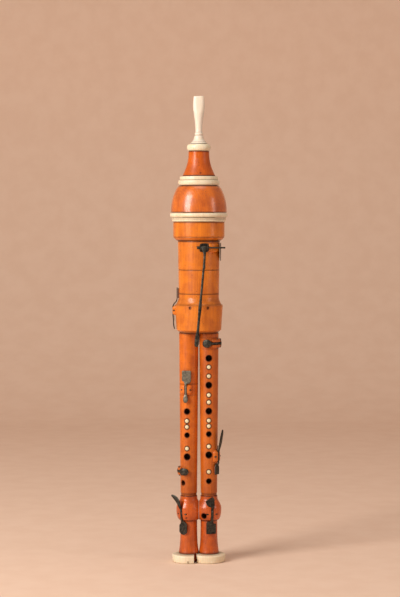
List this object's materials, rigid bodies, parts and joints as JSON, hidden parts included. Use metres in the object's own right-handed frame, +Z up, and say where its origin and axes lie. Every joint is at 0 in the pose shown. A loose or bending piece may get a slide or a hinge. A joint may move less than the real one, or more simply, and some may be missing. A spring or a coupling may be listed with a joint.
{
  "type": "double flageolet",
  "caption": "Double flageolet: keyed boxwood pipes side by side on flared feet, under a windcap with ivory rings and an ivory mouthpiece.",
  "frame": {"origin": "on the standing plane, half way between the two pipes", "axes": "+Z up along the pipes, -Y towards the player side with the finger holes, +X to the right pipe"},
  "size_m": [0.0616, 0.063, 0.4948],
  "materials": {
    "boxwood": "polished",
    "ivory": "satin",
    "silver": "tarnished",
    "steel": "satin",
    "leather": "matt",
    "sponge": "matt"
  },
  "bodies": {
    "instrument": {"collar": "boxwood", "left_cutter_pin": "steel", "left_fipple": "boxwood", "left_foot": "boxwood", "left_foot_key_pin": "steel", "left_foot_ring": "ivory", "left_pipe": "boxwood", "left_plate_key_pin": "steel", "left_side_key_pin": "steel", "left_stud_1": "ivory", "left_stud_2": "ivory", "left_stud_3": "ivory", "right_cutter_bracket": "silver", "right_fipple": "boxwood", "right_foot": "boxwood", "right_foot_key_pin": "steel", "right_foot_ring": "ivory", "right_pipe": "boxwood", "right_side_key_pin": "steel", "right_stud_1": "ivory", "right_stud_2": "ivory", "right_stud_3": "ivory", "right_stud_4": "ivory", "right_stud_5": "ivory", "right_stud_6": "ivory", "right_stud_7": "ivory", "right_stud_8": "ivory", "right_top_key_pin": "steel", "sponge": "sponge", "stock": "boxwood", "stock_ring": "ivory"},
    "windcap": {"cap_base_ring": "ivory", "cap_bulb": "boxwood", "cap_middle_ring": "ivory", "cap_cone": "boxwood", "cap_top_ring": "ivory"},
    "mouthpiece": {"mouthpiece": "ivory"},
    "left_cutter": {"left_cutter": "silver", "left_cutter_pad": "leather", "left_cutter_spring": "steel"},
    "right_cutter": {"right_cutter": "silver", "right_cutter_spring": "steel"},
    "right_top_key": {"right_top_key": "silver", "right_top_key_pad": "leather", "right_top_key_spring": "steel"},
    "left_plate_key": {"left_plate_key": "silver", "left_plate_key_pad": "leather", "left_plate_key_spring": "steel"},
    "left_side_key": {"left_side_key": "silver", "left_side_key_pad": "leather", "left_side_key_spring": "steel"},
    "right_side_key": {"right_side_key": "silver", "right_side_key_pad": "leather", "right_side_key_spring": "steel"},
    "left_foot_key": {"left_foot_key": "silver", "left_foot_key_pad": "leather", "left_foot_key_spring": "steel"},
    "right_foot_key": {"right_foot_key": "silver", "right_foot_key_pad": "leather", "right_foot_key_spring": "steel"}
  },
  "joints": [
    {"name": "windcap_slide", "type": "slide", "parent": "instrument", "child": "windcap", "axis": [0, 0, 1], "range_m": [0, 0.02]},
    {"name": "mouthpiece_slide", "type": "slide", "parent": "windcap", "child": "mouthpiece", "axis": [0, 0, 1], "range_m": [0, 0.012]},
    {"name": "left_cutter_hinge", "type": "hinge", "parent": "instrument", "child": "left_cutter", "pos_m": [-0.0264, 0, 0.2677], "axis": [0, -1, 0], "range_deg": [0, 4], "stiffness_Nm_per_rad": 0.08, "springref_deg": -8.59, "deforming": ["left_cutter_spring"]},
    {"name": "right_cutter_hinge", "type": "hinge", "parent": "instrument", "child": "right_cutter", "pos_m": [0, -0.0254, 0.3346], "axis": [1, 0, 0], "range_deg": [0, 4], "stiffness_Nm_per_rad": 0.12, "springref_deg": -8.59, "deforming": ["right_cutter_spring"]},
    {"name": "right_top_key_hinge", "type": "hinge", "parent": "instrument", "child": "right_top_key", "pos_m": [0.01951, -0.00793, 0.233], "axis": [0, 0, -1], "range_deg": [0, 8], "stiffness_Nm_per_rad": 0.06, "springref_deg": -8.59, "deforming": ["right_top_key_spring"]},
    {"name": "left_plate_key_hinge", "type": "hinge", "parent": "instrument", "child": "left_plate_key", "pos_m": [-0.01365, -0.01102, 0.184], "axis": [0.9659, -0.2588, 0], "range_deg": [0, 9], "stiffness_Nm_per_rad": 0.06, "springref_deg": -8.59, "deforming": ["left_plate_key_spring"]},
    {"name": "left_side_key_hinge", "type": "hinge", "parent": "instrument", "child": "left_side_key", "pos_m": [-0.02032, -0.00449, 0.0969], "axis": [0, 0, 1], "range_deg": [0, 9], "stiffness_Nm_per_rad": 0.06, "springref_deg": -8.59, "deforming": ["left_side_key_spring"]},
    {"name": "right_side_key_hinge", "type": "hinge", "parent": "instrument", "child": "right_side_key", "pos_m": [0.01982, -0.0057, 0.1127], "axis": [-0.5299, -0.848, 0], "range_deg": [0, 9], "stiffness_Nm_per_rad": 0.06, "springref_deg": -8.59, "deforming": ["right_side_key_spring"]},
    {"name": "left_foot_key_hinge", "type": "hinge", "parent": "instrument", "child": "left_foot_key", "pos_m": [-0.01784, -0.00914, 0.052], "axis": [-0.788, 0.6157, 0], "range_deg": [0, 7], "stiffness_Nm_per_rad": 0.06, "springref_deg": -8.59, "deforming": ["left_foot_key_spring"]},
    {"name": "right_foot_key_hinge", "type": "hinge", "parent": "instrument", "child": "right_foot_key", "pos_m": [0.0139, -0.01115, 0.052], "axis": [-0.9613, -0.2756, 0], "range_deg": [0, 7], "stiffness_Nm_per_rad": 0.06, "springref_deg": -8.59, "deforming": ["right_foot_key_spring"]}
  ]
}
